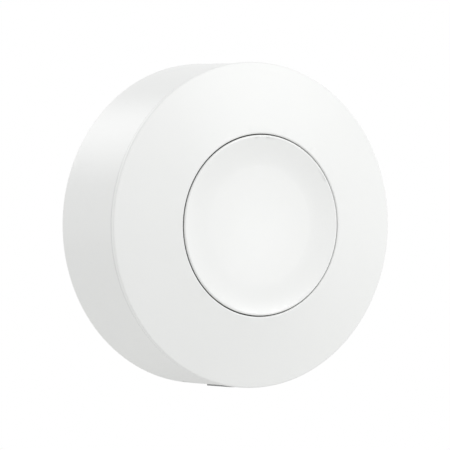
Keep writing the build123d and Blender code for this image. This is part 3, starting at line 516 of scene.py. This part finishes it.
# Tracks, as width and route, in mm: a bus from the processor to the radio, wide supply runs to the
# cells' tabs, the antenna's feed, and single runs to the lamp, the pairing switch and the loose parts
track_height = 0.035 * mm
fine, wide = 0.25, 0.9
routes = [(fine, ((11.1, -0.9 - 0.5 * n), (12.0 + 0.5 * n, -0.9 - 0.5 * n), (12.0 + 0.5 * n, 6.9 + 0.5 * n),
                  (11.6 + 0.5 * n, 7.3 + 0.5 * n), (6.0, 7.3 + 0.5 * n))) for n in range(6)]
routes += [
    (wide, ((-10.1, -2.3), (-15.0, -2.3), (-17.5, -4.8), (-20.5, -4.8))),
    (wide, ((24.0, -6.0), (21.5, -6.0), (16.6, -10.9), (9.5, -10.9), (8.2, -9.6), (8.2, -5.6))),
    (wide, ((24.0, 6.0), (22.5, 6.0), (20.3, 3.8), (17.0, 3.8), (15.4, 2.2), (15.4, -4.0), (11.1, -4.6))),
    (0.5, ((-6.0, 11.5), (-9.6, 11.5), (-15.2, 17.1), (-15.8, 18.8))),
    (fine, ((0.8, -9.1), (4.6, -9.1), (6.6, -7.1), (6.6, -5.4))),
    (fine, ((-0.8, -9.1), (-3.2, -9.1), (-4.4, -7.9), (-4.4, -6.4))),
    (fine, ((7.0, -13.2), (7.3, -12.9), (7.3, -5.4))),
    (fine, ((-4.3, 2.2), (-5.4, 3.3), (-5.4, 7.6), (-6.0, 8.2))),
    (fine, ((4.3, -2.2), (6.1, -2.2))),
    (fine, ((4.3, 2.2), (5.2, 2.2), (6.1, 1.6))),
    (fine, ((-19.6, -11.3), (-14.0, -11.3), (-9.5, -6.8), (-5.6, -6.8))),
    (fine, ((-19.6, 11.3), (-13.2, 11.3), (-9.6, 7.7), (-8.1, 5.0))),
    (fine, ((17.5, 15.7), (13.0, 15.7), (9.6, 12.3), (6.0, 12.3))),
    (fine, ((19.9, 12.4), (15.2, 12.4), (13.6, 10.8), (6.0, 10.8))),
]
tracks = []
for width, route in routes:
    points = [(x * mm, z * mm) for x, z in route]
    tracks.append(strip_skin(points, width * mm, board_face, board_face - track_height))
make_piece("board_tracks", tracks, covered_copper("covered_copper", "#2A7049"), "housing")

# Vias and test lands, as places in mm: the vias stand a little higher than the tracks they end
via_outer, via_inner, via_height = 0.32 * mm, 0.14 * mm, 1.6 * track_height
via_places = [(12.0 + 0.5 * n, 3.0 + 1.1 * (n % 2)) for n in range(6)] + [
    (-15.0, -2.3), (16.6, -10.9), (15.4, 0.0), (7.0, -13.2), (-9.6, 11.5), (-14.0, -11.3),
    (-13.2, 11.3), (13.0, 15.7), (-3.2, -9.1), (4.6, -9.1), (-5.6, -6.8), (-12.0, 19.0),
    (-10.4, 20.4), (-8.6, 21.6), (-21.0, 3.0), (-21.0, -1.6),
]
vias = [hoop_skin(via_outer, via_inner, x * mm, z * mm, board_face, board_face - via_height)
        for x, z in via_places]
tinned = bright_solder("reflowed_tin", "#C6C8CA", 0.24)
plated_gold = bright_solder("plated_gold", "#D9B968", 0.26)
make_piece("board_vias", vias, tinned, "housing")
test_radius, test_height = 0.6 * mm, 1.5 * track_height
test_places = [(-12.5, -15.0 + 2.2 * n) for n in range(4)]
test_places += [(14.5 + 2.0 * n, -15.0 + 2.0 * n) for n in range(2)]
test_lands = [disc_skin(test_radius, x * mm, z * mm, board_face, board_face - test_height)
              for x, z in test_places]
make_piece("test_lands", test_lands, plated_gold, "housing")


# Parts on the board
# Tinned cans, ceramic chips, black epoxy packages and the nylon of the switches, all reflow soldered.

def small_part(name, tone, roughness, mottle_size, mottle_tone):
    """A small component's body, faintly mottled: ceramic, ferrite, nylon or filled epoxy."""
    material = bare_material(name)
    mottle_depth = 0.006 * mm
    place = add_node(material, "ShaderNodeTexCoord").outputs["Object"]
    specks = add_node(material, "ShaderNodeTexNoise",
                      {"Vector": place, "Scale": 1 / mottle_size, "Detail": 4.0})
    colour = add_node(material, "ShaderNodeMix",
                      {0: specks.outputs[0], 6: linear(tone), 7: linear(mottle_tone)}, data_type="RGBA")
    skin = add_node(material, "ShaderNodeBump", {"Height": specks.outputs[0], "Distance": mottle_depth})
    body = add_node(material, "ShaderNodeBsdfPrincipled",
                    {"Base Color": colour.outputs[2], "Roughness": roughness, "IOR": 1.5,
                     "Normal": skin.outputs[0]})
    add_node(material, "ShaderNodeOutputMaterial", {"Surface": body.outputs[0]})
    return material


tinned_can = nickel_plate("tinned_can", "#C4C5C4", 0.32, 0.2 * mm)
dress(tinned_can, "radio_shield", "crystal", "switch_cover")
dress(small_part("ceramic", "#B59B74", 0.45, 0.3 * mm, "#A98E68"), "chip_antenna", "chip_capacitors")
dress(small_part("dark_ferrite", "#2B2C2E", 0.5, 0.3 * mm, "#353637"), "chip_resistors", "power_inductor")
dress(small_part("filled_epoxy", "#1E1F21", 0.48, 0.2 * mm, "#262729"), "processor_chip")
switch_nylon = small_part("switch_nylon", "#26272A", 0.42, 0.4 * mm, "#2C2D30")
dress(switch_nylon, "switch_body", "switch_plunger", "reset_switch_body")
dress(small_part("led_epoxy", "#F3F1E4", 0.2, 0.4 * mm, "#ECE9D6"), "status_led")


def solid_boxes(node):
    """The lowest and highest corner of each separate solid of a node."""
    shape = bmesh.new()
    shape.from_mesh(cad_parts[node].data)
    bmesh.ops.remove_doubles(shape, verts=shape.verts, dist=0.001 * mm)
    boxes, left = [], set(shape.verts)
    while left:
        found, fresh = set(), {left.pop()}
        while fresh:
            found |= fresh
            fresh = {edge.other_vert(vert) for vert in fresh for edge in vert.link_edges} - found
        left -= found
        corners = [[vert.co[i] for vert in found] for i in range(3)]
        boxes.append((Vector([min(c) for c in corners]), Vector([max(c) for c in corners])))
    shape.free()
    return sorted(boxes, key=lambda box: tuple(box[0]))


# Solder: a fillet at each end of the chip parts, a bead round each of the cells' tabs. A fillet's foot
# and crown are as wide as a share of the part, and the foot is tucked in under it.
fillet_run, fillet_share = 0.4 * mm, 0.65
foot_tuck, foot_corner, foot_share = 0.05 * mm, 0.05 * mm, 0.9
crown_half, crown_corner, crown_share = 0.06 * mm, 0.03 * mm, 0.7
fillets = []
for node in ("chip_capacitors", "chip_resistors", "status_led", "power_inductor", "crystal"):
    for low, high in solid_boxes(node):
        middle, half = (low + high) / 2, (high - low) / 2
        top = board_face - fillet_share * (high.y - low.y)
        for side in (-1, 1):
            end = middle.x + side * half.x
            foot = block_ring(fillet_run / 2 + foot_tuck, foot_share * half.z, foot_corner,
                              end + side * fillet_run / 2, board_face, middle.z)
            crown = block_ring(crown_half, crown_share * half.z, crown_corner, end, top, middle.z)
            fillets.append(loft([foot, crown]))
tab_z, tab_half, bead_corner = 6.05 * mm, 1.4 * mm, 0.3 * mm
bead_layers = ((0.9 * mm, 0), (0.6 * mm, 0.18 * mm), (0.3 * mm, 0.4 * mm))     # reach and height
low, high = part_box("positive_contact")
for z in (-tab_z, tab_z):
    fillets.append(loft([block_ring(reach, tab_half + reach, bead_corner,
                                    (low.x + high.x) / 2, board_face - height, z)
                         for reach, height in bead_layers]))
make_piece("solder_fillets", fillets, tinned, "housing")

# The processor's leads, its first-pin dot, and the printed outlines round the larger parts
low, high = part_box("processor_chip")
middle, half = (low + high) / 2, (high - low) / 2
leads_a_side, lead_pitch = 9, 0.5 * mm
lead_half, lead_reach, lead_height, lead_corner = 0.12 * mm, 0.2 * mm, 0.2 * mm, 0.03 * mm
leads = []
for n in range(leads_a_side):
    step = (n - leads_a_side // 2) * lead_pitch
    for side in (-1, 1):
        for x, z, half_x, half_z in ((middle.x + side * half.x, middle.z + step, lead_reach, lead_half),
                                     (middle.x + step, middle.z + side * half.z, lead_half, lead_reach)):
            leads.append(loft([block_ring(half_x, half_z, lead_corner, x, y, z)
                               for y in (board_face, board_face - lead_height)]))
make_piece("processor_leads", leads, tinned, "housing")
dot_radius, dot_inset = 0.28 * mm, 0.6 * mm
print_gap, print_line, ink_height = 0.35 * mm, 0.14 * mm, 0.02 * mm
corner_gap = 2 * print_line
outlines = [disc_skin(dot_radius, high.x - dot_inset, high.z - dot_inset, low.y, low.y - ink_height)]
for node in ("processor_chip", "power_inductor", "crystal", "switch_body", "radio_board"):
    low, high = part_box(node)
    left, right, foot, top = low.x - print_gap, high.x + print_gap, low.z - print_gap, high.z + print_gap
    sides = [((x, foot + corner_gap), (x, top - corner_gap)) for x in (left, right)]
    sides += [((left + corner_gap, z), (right - corner_gap, z)) for z in (foot, top)]
    outlines += [strip_skin(side, print_line, board_face, board_face - ink_height) for side in sides]
make_piece("board_print", outlines, ink("board_ink", "#E4E6E2"), "housing")

# The radio's edge lands and the dimples that lock its screen
low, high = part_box("radio_board")
lands_a_side, land_pitch = 9, 0.8 * mm
land_radius, land_inset, land_height = 0.26 * mm, 0.1 * mm, 0.02 * mm
lands = [disc_skin(land_radius, x, low.z + (n + 1) * land_pitch, board_face, low.y - land_height)
         for n in range(lands_a_side) for x in (low.x + land_inset, high.x - land_inset)]
make_piece("radio_lands", lands, plated_gold, "housing")
low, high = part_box("radio_shield")
pick_x, pick_z = (low.x + high.x) / 2, (low.z + high.z) / 2
dimple_radius, dimple_inset, dimple_height = 0.3 * mm, 0.6 * mm, 0.06 * mm
pick_outer, pick_inner, pick_height = 1.6 * mm, 1.45 * mm, 0.04 * mm     # where a placing tool holds it
dimples = [disc_skin(dimple_radius, low.x + share * (high.x - low.x), z, low.y, low.y - dimple_height)
           for share in (0.12, 0.31, 0.5, 0.69, 0.88) for z in (low.z + dimple_inset, high.z - dimple_inset)]
dimples.append(hoop_skin(pick_outer, pick_inner, pick_x, pick_z, low.y, low.y - pick_height))
make_piece("shield_dimples", dimples, tinned_can, "housing")

# A stamped lid on the crystal, the core of the inductor, the lens of the lamp, the switches' rivets
low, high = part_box("crystal")
middle, half = (low + high) / 2, (high - low) / 2
lid_corner = 0.3 * mm
lid_layers = ((0.2 * mm, 0), (0.3 * mm, 0.08 * mm), (0.5 * mm, 0.1 * mm))     # inset and rise
lid = loft([block_ring(half.x - inset, half.z - inset, lid_corner, middle.x, low.y - rise, middle.z)
            for inset, rise in lid_layers])
make_piece("crystal_lid", [lid], tinned_can, "housing")
low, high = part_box("power_inductor")
middle = (low + high) / 2
core_radius, core_rise = 1.45 * mm, 0.1 * mm
rim_near, rim_far, rim_rise = 0.1 * mm, 0.25 * mm, 0.05 * mm
make_piece("inductor_core", [disc_skin(core_radius, middle.x, middle.z, low.y, low.y - core_rise),
                             hoop_skin(core_radius + rim_far, core_radius + rim_near, middle.x, middle.z,
                                       low.y, low.y - rim_rise)],
           small_part("ferrite_core", "#46474A", 0.55, 0.25 * mm, "#3C3D40"), "housing")
low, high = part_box("status_led")
middle = (low + high) / 2
lens_radius = 0.34 * mm
dome = loft([round_ring(lens_radius * math.cos(a), middle.x, low.y - lens_radius / 2 * math.sin(a), middle.z)
             for a in (0, 0.4, 0.8, 1.2, 1.5)])
make_piece("led_lens", [dome],
           small_part("clear_lens", "#F4E7A6", 0.15, 0.3 * mm, "#EFE09A"), "housing")
rivets = []
for node, inset, to_front, rise in (("switch_cover", 0.65 * mm, True, 0.12 * mm),
                                    ("reset_switch_body", 0.55 * mm, False, 0.1 * mm)):
    low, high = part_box(node)
    levels = (low.y, low.y - rise) if to_front else (high.y, high.y + rise)
    for x in (low.x + inset, high.x - inset):
        for z in (low.z + inset, high.z - inset):
            rivets.append(disc_skin(inset / 2, x, z, *levels))
make_piece("switch_rivets", rivets, switch_nylon, "housing")


# Screws
# Cold-headed steel, zinc plated and blue passivated.

zinc_plate = nickel_plate("zinc_plate", "#B9BEC4", 0.3, 0.1 * mm)
dress(zinc_plate, "cover_screws", "board_screws")


def thread_skin(x, z, root, crest, pitch, start, end):
    """A sharp helical ridge round an axis along Y, from start to end."""
    steps_a_turn = 20
    steps = int(abs(end - start) / pitch * steps_a_turn)
    rise = (end - start) / steps
    rings = []
    for i in range(steps + 1):
        c, s = math.cos(2 * math.pi * i / steps_a_turn), math.sin(2 * math.pi * i / steps_a_turn)
        y = start + rise * i
        fade = min(1, i / steps_a_turn, (steps - i) / steps_a_turn)
        ridge = ((root, -pitch / 4), (root + (crest - root) * fade, 0), (root, pitch / 4))
        rings.append([(x + radius * c, y + shift, z + radius * s) for radius, shift in ridge])
    return loft(rings)


threads = []
thread_sunk, thread_proud = 0.05 * mm, 0.18 * mm
for node, shank, pitch, head, head_in_front in (("cover_screws", 1.0 * mm, 0.8 * mm, 1.6 * mm, False),
                                                ("board_screws", 0.8 * mm, 0.6 * mm, 1.4 * mm, True)):
    for low, high in solid_boxes(node):
        middle = (low + high) / 2
        start, end = (low.y + head, high.y - pitch) if head_in_front else (high.y - head, low.y + pitch)
        threads.append(thread_skin(middle.x, middle.z, shank - thread_sunk, shank + thread_proud,
                                   pitch, start, end))
make_piece("screw_threads", threads, zinc_plate, "housing")


# Front cover and button cap
# What a hand meets: the ring and the dished cap, satin white ABS. The cap comes from a finer tool
# and shines a little more.

# Both are drawn darker where they face into the gap round the cap, the cap nearly black: painted shade.
dress(moulded_abs("cover_abs", "#EEEFEE", "#EBECEB", 0.38, painted_gap_shade="#E2E3E2"), "front_cover")
dress(moulded_abs("cap_abs", "#F0F1F0", "#EDEEED", 0.2, painted_gap_shade="#161616", gap_reach=0.35 * mm),
      "button_cap")


# Camera
# It stands at the photograph's angle, 32.5 degrees to the left of the front and just over 1 degree
# up, far off and with a long lens, and aims a little to the left of the rim's centre.

view_turn = math.radians(-32.5)
view_lift = math.radians(1.15)
view_distance = 1.3
aim_left = 5.52 * mm
frame_width = 89.71 * mm
rim_height = 20.76 * mm
rim_centre = Vector((0, -rim_height, 0))
toward_camera = Vector((math.sin(view_turn) * math.cos(view_lift),
                        -math.cos(view_turn) * math.cos(view_lift), math.sin(view_lift)))
view_right = Vector((math.cos(view_turn), math.sin(view_turn), 0))

lens = bpy.data.cameras.new("camera")
lens.sensor_width = 36
lens.lens = lens.sensor_width * view_distance / frame_width
camera = bpy.data.objects.new("camera", lens)
bpy.context.scene.collection.objects.link(camera)
bpy.context.scene.camera = camera
camera.location = rim_centre + view_distance * toward_camera
gaze = rim_centre - aim_left * view_right - camera.location
camera.rotation_euler = gaze.to_track_quat("-Z", "Y").to_euler()


# Light
# A white room with eight softboxes: one behind for the drum's sheen, two on the left, one on the
# right, two above the front, one in front, and a small one at the right front whose reflection
# fills the dish's middle. Each has its name, its direction from the button, its side in metres and
# its power in watts.

bpy.context.scene.view_settings.view_transform = "Standard"
room = bpy.data.worlds.new("white_room")
bpy.context.scene.world = room
room.use_nodes = True
room.node_tree.nodes.clear()
room_fill = 0.659
seen = add_node(room, "ShaderNodeLightPath")
seen_or_mirrored = add_node(room, "ShaderNodeMath",
                            {0: seen.outputs["Is Camera Ray"], 1: seen.outputs["Is Glossy Ray"]},
                            operation="MAXIMUM")
shown_white = add_node(room, "ShaderNodeMath",
                       {0: seen_or_mirrored.outputs[0], 1: seen.outputs["Is Transmission Ray"]},
                       operation="MAXIMUM")
strength = add_node(room, "ShaderNodeMapRange", {"Value": shown_white.outputs[0], 3: room_fill, 4: 1.0})
air = add_node(room, "ShaderNodeBackground", {"Color": (1, 1, 1, 1), "Strength": strength.outputs[0]})
add_node(room, "ShaderNodeOutputWorld", {"Surface": air.outputs[0]})

softboxes = (
    ("softbox_behind", (-0.18, 0.84, 0.45), 0.50, 1.64),
    ("softbox_left_above", (-0.90, 0.10, 0.45), 0.90, 1.25),
    ("softbox_left", (-1.00, 0.25, -0.05), 0.90, 1.42),
    ("softbox_right_above", (0.44, -0.68, 0.49), 0.70, 4.6),
    ("softbox_front_above", (0.10, -0.60, 0.80), 0.60, 1.1),
    ("softbox_front", (-0.10, -1.00, 0.10), 0.90, 0.50),
    ("softbox_right", (0.95, -0.30, -0.05), 0.90, 1.00),
    ("softbox_dish", (0.52, -0.85, -0.02), 0.12, 0.152),
)
softbox_distance = 1.2
for name, way, size, watts in softboxes:
    lamp = bpy.data.lights.new(name, "AREA")
    lamp.shape = "SQUARE"
    lamp.size = size
    lamp.energy = watts
    softbox = bpy.data.objects.new(name, lamp)
    bpy.context.scene.collection.objects.link(softbox)
    softbox.location = softbox_distance * Vector(way).normalized()
    softbox.rotation_euler = (-Vector(way)).to_track_quat("-Z", "Y").to_euler()
    softbox.visible_camera = False


# Floor
# A plain pale floor well below the button, which hangs clear of it as it does in the photograph. It
# hides the button from 30 degrees below or steeper, and from 10 degrees above its edge shows.

floor_drop, floor_reach, floor_sides = 0.7, 8.0, 48
floor_mesh = bpy.data.meshes.new("floor")
floor_mesh.from_pydata([(floor_reach * c, floor_reach * s, -floor_drop) for c, s in turn(floor_sides)], [],
                       [list(range(floor_sides))])
floor = bpy.data.objects.new("floor", floor_mesh)
bpy.context.scene.collection.objects.link(floor)
floor_paint = bare_material("floor_paint")
matt = add_node(floor_paint, "ShaderNodeBsdfPrincipled", {"Base Color": linear("#F2F2F1"), "Roughness": 0.9})
add_node(floor_paint, "ShaderNodeOutputMaterial", {"Surface": matt.outputs[0]})
floor_mesh.materials.append(floor_paint)
